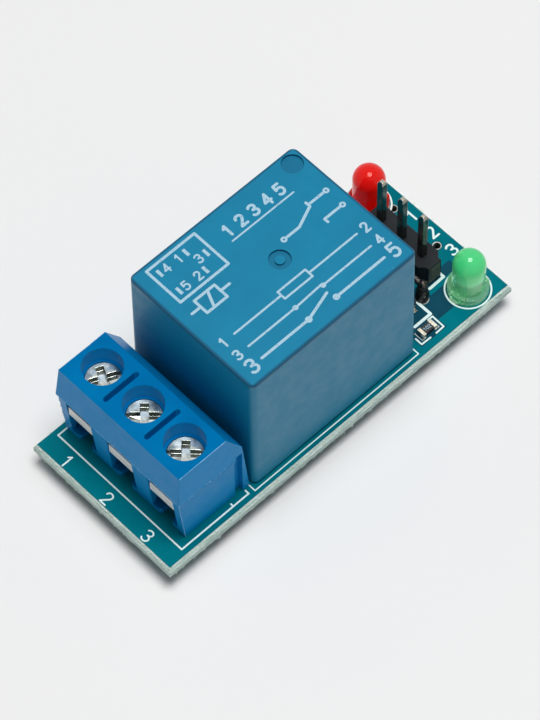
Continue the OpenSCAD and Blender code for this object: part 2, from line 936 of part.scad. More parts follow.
module transistor_body() {
    color([0.1, 0.1, 0.1])
        on_board()
            translate([sot_x, sot_y, sot_lift])
                difference() {
                    translate([-sot_l / 2, -sot_w / 2, 0])
                        cube([sot_l, sot_w, sot_h]);
                    for (s = [-1, 1])
                        translate([0, s * sot_w / 2, sot_h])
                            rotate([s * -30, 0, 0])
                                translate([0, s * 0.2, 0])
                                    cube([sot_l + 1, 0.4, 1.2], center = true);
                }
}

// Gull-wing leads: two on the near side and one on the far side
module transistor_leads() {
    lead_w = 0.42;
    t = 0.13;
    reach = 0.55;
    knee_z = 0.55;
    neck = 0.12;
    color([0.8, 0.8, 0.8])
        on_board()
            translate([sot_x, sot_y, 0])
                for (p = [[-0.95, -1], [0.95, -1], [0, 1]])
                    translate([p[0], p[1] * sot_w / 2, 0])
                        rotate([0, 0, p[1] > 0 ? 0 : 180])
                            translate([-lead_w / 2, 0, 0]) {
                                translate([0, neck, 0])
                                    cube([lead_w, reach - neck, t]);
                                translate([0, neck, 0])
                                    cube([lead_w, t, knee_z]);
                                translate([0, 0, knee_z - t])
                                    cube([lead_w, neck + t, t]);
                            }
}

module diode_body() {
    color([0.16, 0.14, 0.13])
        on_board()
            translate([diode_x, diode_y, diode_z])
                rotate([90, 0, 0])
                    difference() {
                        cylinder(d = diode_d, h = diode_l, center = true);
                        cylinder(d = diode_lead_d, h = diode_l - 1, center = true);
                        for (s = [-1, 1])
                            translate([0, 0, s * diode_l / 2])
                                cylinder(d = diode_lead_d, h = 1.2, center = true);
                    }
}

// Two wires that leave the body's ends and bend down into the board
module diode_leads() {
    bend = 0.7;
    grip = 0.5;
    trim = 0.3;
    run = diode_span / 2 - bend - diode_l / 2 + grip;
    color([0.62, 0.61, 0.6])
        on_board()
            translate([diode_x, diode_y, diode_z])
                for (s = [0, 180])
                    rotate([0, 0, s]) {
                        translate([0, diode_l / 2 - grip, 0])
                            rotate([-90, 0, 0])
                                cylinder(d = diode_lead_d, h = run);
                        translate([0, diode_span / 2 - bend, -bend])
                            rotate([90, 0, 90])
                                rotate_extrude(angle = 90)
                                    translate([bend, 0])
                                        circle(d = diode_lead_d);
                        translate([0, diode_span / 2, -diode_z - top_z + trim])
                            cylinder(d = diode_lead_d, h = diode_z + top_z - trim - bend);
                    }
}

pcb();
solder_joints();
relay_cover();
relay_base();
relay_bobbin();
relay_coil();
relay_core();
relay_yoke();
relay_hinge_spring();
relay_armature();
relay_contact_spring();
relay_moving_contact();
relay_nc_terminal();
relay_nc_contact();
relay_no_terminal();
relay_no_contact();
relay_com_pin();
relay_coil_pins();
terminal_housing();
terminal_cage(0);  // terminal_cage_1
terminal_cage(1);  // terminal_cage_2
terminal_cage(2);  // terminal_cage_3
terminal_screw(0);  // terminal_screw_1
terminal_screw(1);  // terminal_screw_2
terminal_screw(2);  // terminal_screw_3
terminal_contact(0);  // terminal_contact_1
terminal_contact(1);  // terminal_contact_2
terminal_contact(2);  // terminal_contact_3
header_strip();
header_pin(0);  // header_pin_1
header_pin(1);  // header_pin_2
header_pin(2);  // header_pin_3
led_green_lens();
led_part(-1, false);  // led_green_anode
led_part(-1, true);  // led_green_cathode
led_red_lens();
led_part(1, false);  // led_red_anode
led_part(1, true);  // led_red_cathode
resistor(0);  // resistor_1
resistor(1);  // resistor_2
resistor(2);  // resistor_3
resistor_caps();
transistor_body();
transistor_leads();
diode_body();
diode_leads();
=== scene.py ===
"""Looks of the relay module board: materials, print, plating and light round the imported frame."""
import math
import random

import bmesh
import bpy
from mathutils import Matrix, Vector
from mathutils.geometry import delaunay_2d_cdt

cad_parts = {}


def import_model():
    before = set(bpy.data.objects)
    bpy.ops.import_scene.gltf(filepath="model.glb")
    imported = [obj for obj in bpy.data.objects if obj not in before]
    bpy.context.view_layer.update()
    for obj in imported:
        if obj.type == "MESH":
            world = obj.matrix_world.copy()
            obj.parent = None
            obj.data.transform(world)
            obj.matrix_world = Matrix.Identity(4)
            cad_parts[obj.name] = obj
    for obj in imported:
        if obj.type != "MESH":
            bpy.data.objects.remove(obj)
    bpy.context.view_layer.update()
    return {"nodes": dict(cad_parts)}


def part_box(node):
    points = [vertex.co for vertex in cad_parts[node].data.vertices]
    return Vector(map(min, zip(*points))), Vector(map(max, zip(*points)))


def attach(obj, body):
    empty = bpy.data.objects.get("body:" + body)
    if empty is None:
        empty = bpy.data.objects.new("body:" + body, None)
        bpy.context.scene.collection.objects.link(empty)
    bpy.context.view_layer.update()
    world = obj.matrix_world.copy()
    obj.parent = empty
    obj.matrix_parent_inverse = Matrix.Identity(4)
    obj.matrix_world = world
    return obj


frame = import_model()

MM = 0.001
NODES = frame["nodes"]


def tone(red, green, blue):
    """A colour given as 0-255 display values, as linear RGBA."""
    def linear(value):
        value /= 255.0
        return value / 12.92 if value <= 0.04045 else ((value + 0.055) / 1.055) ** 2.4
    return (linear(red), linear(green), linear(blue), 1.0)


# ---------------------------------------------------------------- places, from the frame, in mm

def node_box(name):
    low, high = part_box(name)
    return low / MM, high / MM


def node_centre(name):
    low, high = node_box(name)
    return (low + high) / 2


BOARD_LOW, BOARD_HIGH = node_box("pcb")
BOARD_TOP = BOARD_HIGH.z
BOARD_BOTTOM = BOARD_LOW.z
COVER_LOW, COVER_HIGH = node_box("relay_cover")
BLOCK_LOW, BLOCK_HIGH = node_box("terminal_housing")
POLES = ("1", "2", "3")
PIN_PLACES = [node_centre("header_pin_" + n) for n in POLES]
SCREW_PLACES = [node_centre("terminal_screw_" + n) for n in POLES]


def lamp_centre(colour):
    """The point of the board below a lamp's axis, midway between its two leads."""
    low, high = node_box("led_%s_anode" % colour)
    far = node_box("led_%s_cathode" % colour)[1]
    return Vector(((low.x + far.x) / 2, (low.y + high.y) / 2, BOARD_TOP))


GREEN = lamp_centre("green")
RED = lamp_centre("red")


# ---------------------------------------------------------------- procedural materials

class Surface:
    """A procedural material round one Principled shader, read in the object's own coordinates."""

    def __init__(self, name, color, roughness, **sockets):
        self.mat = bpy.data.materials.new(name)
        self.mat.use_nodes = True
        self.tree = self.mat.node_tree
        self.shader = self.tree.nodes["Principled BSDF"]
        self.coords = self.tree.nodes.new("ShaderNodeTexCoord").outputs["Object"]
        self.shader.inputs["Base Color"].default_value = color
        self.shader.inputs["Roughness"].default_value = roughness
        for socket, value in sockets.items():
            self.shader.inputs[socket.replace("_", " ")].default_value = value

    def add(self, kind, **settings):
        node = self.tree.nodes.new(kind)
        for key, value in settings.items():
            setattr(node, key, value)
        return node

    def feed(self, socket, value):
        """Sets an input socket to a number or links it to an output."""
        if isinstance(value, bpy.types.NodeSocket):
            self.tree.links.new(value, socket)
        else:
            socket.default_value = value

    def noise(self, size, detail, stretch=(1.0, 1.0, 1.0)):
        """Cloudy noise whose features are about size mm across, from 0 to 1."""
        mapping = self.add("ShaderNodeMapping")
        self.feed(mapping.inputs["Vector"], self.coords)
        mapping.inputs["Scale"].default_value = [s / (size * MM) for s in stretch]
        noise = self.add("ShaderNodeTexNoise")
        noise.inputs["Scale"].default_value = 1.0
        noise.inputs["Detail"].default_value = detail
        self.feed(noise.inputs["Vector"], mapping.outputs["Vector"])
        return noise.outputs["Fac"]

    def cells(self, size):
        """Distance to the nearest of points scattered about size mm apart."""
        mapping = self.add("ShaderNodeMapping")
        self.feed(mapping.inputs["Vector"], self.coords)
        mapping.inputs["Scale"].default_value = [1.0 / (size * MM)] * 3
        cell = self.add("ShaderNodeTexVoronoi")
        cell.inputs["Scale"].default_value = 1.0
        self.feed(cell.inputs["Vector"], mapping.outputs["Vector"])
        return cell.outputs["Distance"]

    def fade(self, value, low, high, to_low=0.0, to_high=1.0):
        """value remapped from low..high to to_low..to_high, clamped."""
        node = self.add("ShaderNodeMapRange")
        self.feed(node.inputs["Value"], value)
        limits = {"From Min": low, "From Max": high, "To Min": to_low, "To Max": to_high}
        for socket, number in limits.items():
            node.inputs[socket].default_value = number
        return node.outputs["Result"]

    def math(self, operation, a, b=0.0):
        node = self.add("ShaderNodeMath", operation=operation)
        self.feed(node.inputs[0], a)
        self.feed(node.inputs[1], b)
        return node.outputs["Value"]

    def axis(self, name, source=None):
        """One component of the object coordinates, in mm, or of another vector as it is."""
        split = self.add("ShaderNodeSeparateXYZ")
        self.feed(split.inputs["Vector"], source or self.coords)
        return split.outputs[name] if source else self.math("MULTIPLY", split.outputs[name], 1.0 / MM)

    def inside(self, name, low, high):
        """How far a point lies within low..high along an axis, in mm."""
        offset = self.math("SUBTRACT", self.axis(name), (low + high) / 2)
        return self.math("SUBTRACT", (high - low) / 2, self.math("ABSOLUTE", offset))

    def facing(self, name):
        """One component of the surface's normal."""
        return self.axis(name, self.add("ShaderNodeNewGeometry").outputs["Normal"])

    def blend(self, factor, a, b):
        node = self.add("ShaderNodeMix", data_type="RGBA")
        self.feed(node.inputs["Factor"], factor)
        self.feed(node.inputs["A"], a)
        self.feed(node.inputs["B"], b)
        return node.outputs["Result"]

    def color(self, value):
        self.feed(self.shader.inputs["Base Color"], value)
        return self

    def vary(self, socket, value):
        self.feed(self.shader.inputs[socket], value)
        return self

    def relief(self, height, depth):
        """Bumps of up to depth mm."""
        bump = self.add("ShaderNodeBump")
        bump.inputs["Distance"].default_value = depth * MM
        self.feed(bump.inputs["Height"], height)
        self.feed(self.shader.inputs["Normal"], bump.outputs["Normal"])
        return self


def board_surface():
    """Dark mask over bare laminate, with raw glass fibre on the broken edges."""
    s = Surface("board_mask", tone(12, 64, 82), 0.3, Specular_Tint=tone(70, 130, 150))
    mask = s.blend(s.fade(s.noise(6.0, 3.0), 0.35, 0.65), tone(10, 58, 76), tone(15, 69, 88))
    layer = s.fade(s.noise(0.5, 4.0, (0.3, 0.3, 2.2)), 0.3, 0.7)
    tuft = s.fade(s.noise(0.14, 3.0), 0.5, 0.72)
    glass = s.blend(layer, tone(172, 198, 188), tone(232, 244, 238))
    glass = s.blend(s.math("MULTIPLY", tuft, 0.55), glass, tone(112, 150, 142))
    tilt = s.math("ABSOLUTE", s.facing("Z"))
    glass = s.blend(s.fade(tilt, 0.1, 0.3, 0.35, 0.0), glass, tone(144, 168, 160))
    edge = s.math("LESS_THAN", tilt, 0.97)
    s.color(s.blend(edge, mask, glass))
    s.vary("Roughness", s.fade(edge, 0.0, 1.0, 0.3, 0.9))
    rough = s.math("MULTIPLY", s.noise(0.16, 3.0), edge)
    return s.relief(s.math("ADD", rough, s.math("MULTIPLY", s.noise(0.6, 2.0), 0.05)), 0.05)


def mask_over_copper():
    """Teal mask with the faint orange peel of a cured film."""
    s = Surface("mask_over_copper", tone(0, 110, 124), 0.3, Specular_Tint=tone(20, 130, 140))
    cloud = s.fade(s.noise(5.0, 3.0), 0.35, 0.65)
    s.color(s.blend(cloud, tone(0, 104, 118), tone(2, 116, 130)))
    s.vary("Roughness", s.fade(s.noise(1.6, 4.0), 0.3, 0.7, 0.26, 0.36))
    return s.relief(s.noise(0.5, 2.0), 0.004)


def cover_painted_shade(s):
    """Mask of painted shade: 1 on the relay cover's rounded upper edge and on the upright sides of its
    sunk marks, less on their floors.
    """
    high = s.fade(s.axis("Z"), COVER_HIGH.z - 0.42, COVER_HIGH.z - 0.22)
    turned = s.fade(s.facing("Z"), 0.88, 0.985, 1.0, 0.0)
    inset_x = s.inside("X", COVER_LOW.x, COVER_HIGH.x)
    inset_y = s.inside("Y", COVER_LOW.y, COVER_HIGH.y)
    border = s.fade(s.math("MINIMUM", inset_x, inset_y), 0.28, 0.42, 1.0, 0.0)
    sunk = s.fade(s.axis("Z"), COVER_HIGH.z - 0.14, COVER_HIGH.z - 0.06, 0.5, 0.0)
    turned = s.math("MAXIMUM", s.math("MAXIMUM", turned, border), sunk)
    return s.math("MULTIPLY", high, turned)


def moulded(name, color, lighter, roughness, grain=0.12, depth=0.004, speck=None, glint=(1, 1, 1, 1),
            gloss=0.5, upright_painted_light=None, rim=None):
    """Moulded plastic: faint clouds of tone, fine grain and, where speck is given, grains of dust.

    glint is the tone of its reflections and gloss their strength; the upright-face tone is painted light,
    lighter or darker than the tops as the light falls on them, and rim is the painted shade on the relay
    cover's rounded upper edge and in its sunk marks.
    """
    s = Surface(name, color, roughness, Specular_Tint=glint, Specular_IOR_Level=gloss)
    paint = s.blend(s.fade(s.noise(3.5, 4.0), 0.3, 0.7), color, lighter)
    if speck:
        dust = s.fade(s.cells(1.1), 0.0, 0.055, 1.0, 0.0)
        keep = s.fade(s.noise(2.4, 2.0), 0.55, 0.6)
        paint = s.blend(s.math("MULTIPLY", dust, keep), paint, speck)
    # painted light: upright faces get a tone of their own, standing in for how the light falls on them
    if upright_painted_light:
        upright = s.fade(s.math("ABSOLUTE", s.facing("Z")), 0.3, 0.7, 1.0, 0.0)
        paint = s.blend(upright, paint, upright_painted_light)
    # painted shade: the relay cover's rounded upper edge and sunk marks take a darker tone
    if rim:
        paint = s.blend(cover_painted_shade(s), paint, rim)
    s.color(paint)
    worn = s.fade(s.noise(1.2, 5.0), 0.3, 0.75, roughness - 0.05, roughness + 0.1)
    s.vary("Roughness", worn)
    return s.relief(s.noise(grain, 3.0), depth)


def metal(name, dark, light, roughness, streak=(1.0, 1.0, 1.0), size=0.5, depth=0.002, upright_painted_light=None):
    """Plated metal with tarnish clouds drawn out by streak; upright faces can take a darker tone of
    painted shade and reflection.
    """
    s = Surface(name, light, roughness, Metallic=1.0)
    plating = s.blend(s.fade(s.noise(size, 4.0, streak), 0.35, 0.65), dark, light)
    # painted shade and reflection: upright faces take a darker tone
    if upright_painted_light:
        upright = s.fade(s.math("ABSOLUTE", s.facing("Z")), 0.2, 0.8, 1.0, 0.0)
        plating = s.blend(upright, plating, upright_painted_light)
    s.color(plating)
    worn = s.noise(size * 0.6, 3.0, streak)
    s.vary("Roughness", s.fade(worn, 0.3, 0.7, roughness - 0.05, roughness + 0.08))
    return s.relief(s.noise(size * 0.5, 2.0, streak), depth)


def ink(name, paint, under, wear):
    """Printed ink, thin in places so that the ground shows through."""
    s = Surface(name, paint, 0.5)
    thin = s.fade(s.noise(0.16, 3.0), 0.62 - wear, 0.8 - wear * 0.5, 0.0, 0.75)
    s.color(s.blend(thin, paint, under))
    return s.relief(s.noise(0.1, 2.0), 0.004)


def lens(name, milky, pale, clear, painted_glow, glint):
    """Tinted epoxy: milky in the dome and palest at its foot, clear below, with a weak painted glow in
    place of the light it gathers.
    """
    # painted glow: a weak emission, though the lamp is not lit
    s = Surface(name, milky, 0.09, IOR=1.5, Specular_Tint=glint, Emission_Color=painted_glow,
                Emission_Strength=0.12)
    s.shader.inputs["Subsurface Radius"].default_value = (1.0, 1.0, 1.0)
    s.shader.inputs["Subsurface Scale"].default_value = 0.8 * MM
    height = s.math("ADD", s.axis("Z"), s.math("MULTIPLY", s.noise(0.8, 2.0), 0.4))
    dome = s.fade(height, BOARD_TOP + 2.5, BOARD_TOP + 3.1)
    tint = s.blend(s.fade(height, BOARD_TOP + 2.9, BOARD_TOP + 4.5), pale, milky)
    s.color(s.blend(dome, clear, tint))
    s.vary("Transmission Weight", s.fade(dome, 0.0, 1.0, 0.8, 0.15))
    s.vary("Subsurface Weight", s.fade(dome, 0.0, 1.0, 0.05, 0.6))
    return s.relief(s.noise(0.9, 2.0), 0.002)


def coil_winding():
    """Fine enamelled wire, wound in level layers."""
    s = Surface("enamelled_copper", tone(190, 98, 48), 0.3, Metallic=0.85)
    wave = s.add("ShaderNodeTexWave", bands_direction="Z")
    wave.inputs["Scale"].default_value = 1.0 / (0.12 * MM) / 6.28
    s.feed(wave.inputs["Vector"], s.coords)
    s.color(s.blend(s.fade(s.noise(1.5, 3.0), 0.3, 0.7), tone(160, 76, 36), tone(200, 112, 60)))
    return s.relief(wave.outputs["Fac"], 0.03)


def make_surfaces():
    relay_ground = tone(20, 112, 150)
    board_ground = tone(40, 130, 140)
    return {
        "board": board_surface(),
        "copper_mask": mask_over_copper(),
        "silk": ink("silk_ink", tone(226, 246, 244), board_ground, 0.0),
        "print": ink("print_ink", tone(164, 198, 216), relay_ground, 0.06),
        # relay cover: upright faces painted lighter as if lit, rounded top edge and sunk marks painted
        # with shade
        "relay": moulded("relay_blue", tone(0, 112, 148), tone(3, 120, 157), 0.42, 0.09, 0.003,
                         speck=tone(120, 170, 195), glint=tone(135, 196, 224), gloss=0.75,
                         upright_painted_light=tone(8, 118, 153), rim=tone(0, 74, 106)),
        "relay_base": moulded("relay_base_blue", tone(4, 92, 130), tone(10, 100, 138), 0.55),
        # terminal block: upright faces painted lighter as if lit
        "terminal": moulded("terminal_blue", tone(0, 103, 162), tone(0, 115, 174), 0.36, 0.14, 0.003,
                            speck=tone(90, 160, 215), glint=tone(30, 120, 170), gloss=0.2,
                            upright_painted_light=tone(6, 136, 200)),
        "flash": moulded("terminal_flash", tone(70, 150, 205), tone(140, 190, 225), 0.5),
        # hole plating painted dark as the shade inside the spare holes
        "barrel": metal("plated_barrel_painted_shade", tone(30, 38, 38), tone(72, 82, 80), 0.5, size=0.3),
        "break": moulded("broken_plastic", tone(18, 22, 21), tone(72, 80, 74), 0.6, 0.2, 0.03),
        "fibre": moulded("glass_fibre", tone(190, 212, 204), tone(226, 238, 232), 0.8, 0.1, 0.01),
        "gold": metal("bond_wire", tone(200, 160, 70), tone(240, 205, 120), 0.2),
        "bobbin": moulded("bobbin_plastic", tone(222, 220, 208), tone(232, 230, 220), 0.5),
        "coil": coil_winding(),
        "iron": metal("soft_iron", tone(140, 140, 145), tone(190, 190, 195), 0.35),
        "bronze": metal("spring_bronze", tone(178, 128, 62), tone(220, 172, 96), 0.28, (1.0, 6.0, 1.0)),
        "silver": metal("contact_silver", tone(205, 205, 200), tone(235, 235, 232), 0.22),
        "copper": metal("copper_terminal", tone(176, 112, 76), tone(214, 152, 112), 0.3, (1.0, 1.0, 4.0)),
        # screw heads: upright faces painted dark as shade and reflection
        "zinc": metal("zinc_plate", tone(150, 160, 156), tone(226, 232, 228), 0.16, size=0.9, depth=0.003,
                      upright_painted_light=tone(72, 80, 72)),
        "cage": metal("zinc_sheet", tone(196, 196, 194), tone(226, 226, 224), 0.5, (1.0, 0.3, 3.0)),
        "tin": metal("tin_plate", tone(150, 148, 138), tone(212, 207, 192), 0.16, (3.0, 3.0, 0.5)),
        # header pins: upright faces painted dark as the reflection of the dark parts around them
        "pin": metal("pin_tin", tone(150, 148, 138), tone(220, 214, 198), 0.14, (3.0, 3.0, 0.5),
                     upright_painted_light=tone(104, 106, 100)),
        "solder": metal("solder", tone(150, 152, 156), tone(215, 217, 220), 0.2, size=0.8, depth=0.01),
        "pad": metal("tinned_pad", tone(150, 160, 156), tone(206, 212, 206), 0.35, size=0.6, depth=0.006),
        "lead": metal("lead_frame", tone(34, 33, 34), tone(92, 88, 84), 0.42, size=0.25, depth=0.03),
        "caps": metal("chip_caps", tone(190, 184, 166), tone(232, 226, 208), 0.3, size=0.25, depth=0.006),
        "header": moulded("header_black", tone(27, 30, 33), tone(38, 41, 44), 0.5, 0.12, 0.006,
                           glint=tone(120, 124, 126)),
        "glaze": moulded("chip_glaze", tone(22, 20, 20), tone(34, 30, 28), 0.25),
        "epoxy": moulded("black_epoxy", tone(26, 26, 27), tone(38, 38, 39), 0.5, 0.1, 0.008),
        "green_lens": lens("lens_green", tone(72, 210, 130), tone(150, 240, 178), tone(204, 255, 220),
                           tone(90, 225, 140), tone(235, 255, 240)),
        "red_lens": lens("lens_red", tone(226, 18, 14), tone(255, 20, 10), tone(255, 44, 30),
                         tone(255, 14, 8), tone(255, 170, 160)),
    }


SURFACES = make_surfaces()


# ---------------------------------------------------------------- the CAD nodes

# node or start of its name: (surface, edge radius in mm)
DRESS = {
    "pcb": ("board", 0.0),
    "solder_joints": ("solder", 0.0),
    "relay_cover": ("relay", 0.2),
    "relay_base": ("relay_base", 0.08),
    "relay_bobbin": ("bobbin", 0.08),
    "relay_coil": ("coil", 0.05),
    "relay_core": ("iron", 0.05),
    "relay_yoke": ("iron", 0.08),
    "relay_hinge_spring": ("bronze", 0.02),
    "relay_armature": ("iron", 0.06),
    "relay_contact_spring": ("bronze", 0.02),
    "relay_moving_contact": ("silver", 0.06),
    "relay_nc_terminal": ("copper", 0.04),
    "relay_no_terminal": ("copper", 0.04),
    "relay_nc_contact": ("silver", 0.06),
    "relay_no_contact": ("silver", 0.06),
    "relay_com_pin": ("tin", 0.04),
    "relay_coil_pins": ("tin", 0.04),
    "terminal_housing": ("terminal", 0.035),
    "terminal_cage": ("cage", 0.06),
    "terminal_screw": ("zinc", 0.06),
    "terminal_contact": ("tin", 0.04),
    "header_strip": ("header", 0.04),
    "header_pin": ("pin", 0.03),
    "led_green_lens": ("green_lens", 0.05),
    "led_red_lens": ("red_lens", 0.05),
    "led_": ("tin", 0.02),
    "resistor_caps": ("caps", 0.02),
    "resistor_": ("glaze", 0.02),
    "transistor_body": ("epoxy", 0.03),
    "transistor_leads": ("tin", 0.02),
    "diode_body": ("epoxy", 0.12),
    "diode_leads": ("lead", 0.0),
}


def round_edges(piece, radius):
    """Welds the CAD mesh's seams and gives its sharp edges the small radius that a real edge has."""
    weld = piece.modifiers.new("weld", "WELD")
    weld.merge_threshold = 0.0005 * MM
    if radius:
        bevel = piece.modifiers.new("edge", "BEVEL")
        bevel.width = radius * MM
        bevel.segments = 2
        bevel.limit_method = "ANGLE"
        bevel.angle_limit = math.radians(32)
        bevel.use_clamp_overlap = True
    normals = piece.modifiers.new("normals", "WEIGHTED_NORMAL")
    normals.keep_sharp = True


def dress_nodes():
    for name, node in NODES.items():
        key = max((k for k in DRESS if name.startswith(k)), key=len)
        surface, radius = DRESS[key]
        node.data.materials.clear()
        node.data.materials.append(SURFACES[surface].mat)
        round_edges(node, radius)


dress_nodes()


# ---------------------------------------------------------------- mesh building, in mm

def finish_piece(name, bm, surface, body, smooth=False):
    """Turns a mesh built in mm into a piece that rides on a body."""
    bmesh.ops.recalc_face_normals(bm, faces=bm.faces)
    bmesh.ops.scale(bm, vec=(MM, MM, MM), verts=bm.verts)
    mesh = bpy.data.meshes.new(name)
    bm.to_mesh(mesh)
    bm.free()
    mesh.materials.append(SURFACES[surface].mat)
    for face in mesh.polygons:
        face.use_smooth = smooth
    piece = bpy.data.objects.new(name, mesh)
    bpy.context.scene.collection.objects.link(piece)
    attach(piece, body)


def arc(cx, cy, radius, start, stop, steps):
    """Points on an arc, angles in degrees."""
    angles = [math.radians(start + (stop - start) * i / steps) for i in range(steps + 1)]
    return [(cx + radius * math.cos(a), cy + radius * math.sin(a)) for a in angles]


class Sheet:
    """Flat shapes drawn in plan, joined into one thin solid without overlaps."""

    def __init__(self):
        self.points = []
        self.shapes = []
        self.cuts = set()

    def shape(self, outline, cut=False):
        first = len(self.points)
        self.points += [Vector(p) for p in outline]
        if cut:
            self.cuts.add(len(self.shapes))
        self.shapes.append(list(range(first, len(self.points))))

    def box(self, x0, x1, y0, y1):
        self.shape([(x0, y0), (x1, y0), (x1, y1), (x0, y1)])

    def hole(self, x, y, radius):
        """Cuts a round hole through every shape of the sheet."""
        self.shape(arc(x, y, radius, 0, 360, 24)[:-1], cut=True)

    def ring(self, x, y, inner, outer, steps=48):
        near = arc(x, y, inner, 0, 360, steps)
        far = arc(x, y, outer, 0, 360, steps)
        for i in range(steps):
            self.shape([near[i], far[i], far[i + 1], near[i + 1]])

    def line(self, points, width, closed=False):
        """A stroke with round ends and joints."""
        points = list(points) + ([points[0]] if closed else [])
        for (x0, y0), (x1, y1) in zip(points, points[1:]):
            turn = math.degrees(math.atan2(y1 - y0, x1 - x0))
            outline = arc(x1, y1, width / 2, turn - 90, turn + 90, 5)
            outline += arc(x0, y0, width / 2, turn + 90, turn + 270, 5)
            self.shape(outline)

    def digits(self, text, x, y, height, width, turn=0.0, pitch=0.95):
        """Numbers in strokes; turn is the direction in which they read."""
        c, s = math.cos(math.radians(turn)), math.sin(math.radians(turn))
        for i, mark in enumerate(text):
            for stroke in DIGITS.get(mark, []):
                cell = [((u + i * pitch) * height, v * height) for u, v in stroke]
                self.line([(x + u * c - v * s, y + u * s + v * c) for u, v in cell], width)

    def solid(self, name, z0, z1, surface, body):
        plan = delaunay_2d_cdt(self.points, [], self.shapes, 1, 1e-5)
        places, faces, owners = plan[0], plan[2], plan[5]
        keep = [f for f, who in zip(faces, owners) if who and not self.cuts.intersection(who)]
        bm = bmesh.new()
        low = {i: bm.verts.new((*places[i], z0)) for f in keep for i in f}
        high = {i: bm.verts.new((*places[i], z1)) for i in low}
        edges = set()
        for face in keep:
            bm.faces.new([high[i] for i in face])
            bm.faces.new([low[i] for i in reversed(face)])
            edges.update(zip(face, list(face[1:]) + [face[0]]))
        for i, j in sorted(edges):
            if (j, i) not in edges:
                bm.faces.new((low[i], low[j], high[j], high[i]))
        finish_piece(name, bm, surface, body)


def lathe(bm, cx, cy, profile, steps, wobble):
    """A closed solid turned about an upright axis; profile runs from the axis to the axis."""
    rows = []
    for radius, z in profile:
        if radius < 1e-6:
            rows.append([bm.verts.new((cx, cy, z))])
            continue
        row = []
        for i in range(steps):
            angle = 2 * math.pi * i / steps
            r = radius * wobble(angle, z)
            row.append(bm.verts.new((cx + r * math.cos(angle), cy + r * math.sin(angle), z)))
        rows.append(row)
    for a, b in zip(rows, rows[1:]):
        for i in range(steps):
            j = (i + 1) % steps
            if len(a) == 1:
                bm.faces.new((a[0], b[i], b[j]))
            elif len(b) == 1:
                bm.faces.new((a[i], a[j], b[0]))
            else:
                bm.faces.new((a[i], a[j], b[j], b[i]))


def block(bm, corners):
    """A six-sided solid from the four corners of its foot and the four of its top, in order."""
    v = [bm.verts.new(c) for c in corners]
    for face in ((3, 2, 1, 0), (4, 5, 6, 7), (0, 1, 5, 4), (1, 2, 6, 5), (2, 3, 7, 6), (3, 0, 4, 7)):
        bm.faces.new([v[i] for i in face])


# Strokes of the digits in a cell 0.6 wide and 1 high
DIGITS = {
    "0": [[(0.3, 1), (0.12, 0.93), (0.02, 0.72), (0, 0.5), (0.02, 0.28), (0.12, 0.07), (0.3, 0),
           (0.48, 0.07), (0.58, 0.28), (0.6, 0.5), (0.58, 0.72), (0.48, 0.93), (0.3, 1)]],
    "1": [[(0.1, 0.78), (0.32, 1), (0.32, 0)]],
    "2": [[(0.02, 0.76), (0.06, 0.9), (0.17, 0.98), (0.31, 1), (0.46, 0.96), (0.56, 0.86), (0.58, 0.72),
           (0.5, 0.55), (0.02, 0), (0.6, 0)]],
    "3": [[(0.04, 0.88), (0.15, 0.97), (0.3, 1), (0.46, 0.96), (0.56, 0.85), (0.56, 0.7), (0.46, 0.57),
           (0.26, 0.53), (0.48, 0.48), (0.59, 0.35), (0.59, 0.2), (0.48, 0.06), (0.3, 0), (0.13, 0.03),
           (0.02, 0.14)]],
    "4": [[(0.46, 0), (0.46, 1), (0, 0.3), (0.62, 0.3)]],
    "5": [[(0.54, 1), (0.08, 1), (0.04, 0.55), (0.17, 0.63), (0.32, 0.65), (0.48, 0.6), (0.59, 0.45),
           (0.59, 0.24), (0.48, 0.07), (0.3, 0), (0.14, 0.03), (0.02, 0.13)]],
}


# ---------------------------------------------------------------- silkscreen of the board

THIN_INK = 0.12
FINE_INK = 0.16
BOLD_INK = 0.28


def silkscreen():
    ink = Sheet()
    pin_x = PIN_PLACES[0].x
    # round the terminal block and the relay
    side = BOARD_HIGH.y - 0.84
    front = BLOCK_LOW.x - 0.38
    back = BLOCK_HIGH.x - 0.65
    ink.line([(back, -side + 0.4), (back, -side), (front, -side), (front, side), (back, side)], FINE_INK)
    ink.line([(back - 1.8, -side - 0.02), (back - 1.8, -side + 0.3)], FINE_INK)
    near = COVER_LOW.y - 0.33
    left = COVER_LOW.x - 0.3
    right = COVER_HIGH.x
    ink.line([(left, -near), (left, near), (right, near), (right, -near)], THIN_INK, closed=True)
    # round the lamps, beside the header and round the driver parts
    for lamp in (GREEN, RED):
        ink.ring(lamp.x, lamp.y, 1.99, 2.15)
    ink.line([(pin_x + 0.85, -3.1), (pin_x + 0.85, -3.86), (pin_x - 0.92, -3.9)], BOLD_INK)
    ink.line([(13.35, -4.19), (13.35, -5.8), (11.4, -5.8)], BOLD_INK)
    ink.line([(12.75, -6.1), (13.28, -6.1), (13.26, -7.52), (12.32, -7.55)], FINE_INK)
    ink.line([(11.63, -7.53), (10.58, -7.5), (10.58, -6.74)], FINE_INK)
    # pole numbers in front of the terminal, and pin numbers beside the header
    for number, screw in zip(POLES, SCREW_PLACES):
        ink.digits(number, BOARD_LOW.x + 0.4, screw.y + 0.25, 1.15, 0.15, turn=-90)
    for number, pin in zip(POLES, PIN_PLACES):
        ink.digits(number, pin_x + 3.05, pin.y - 1.0, 1.15, 0.2)
    ink.solid("silkscreen", BOARD_TOP, BOARD_TOP + 0.022, "silk", "module")


silkscreen()


# ---------------------------------------------------------------- print on the relay

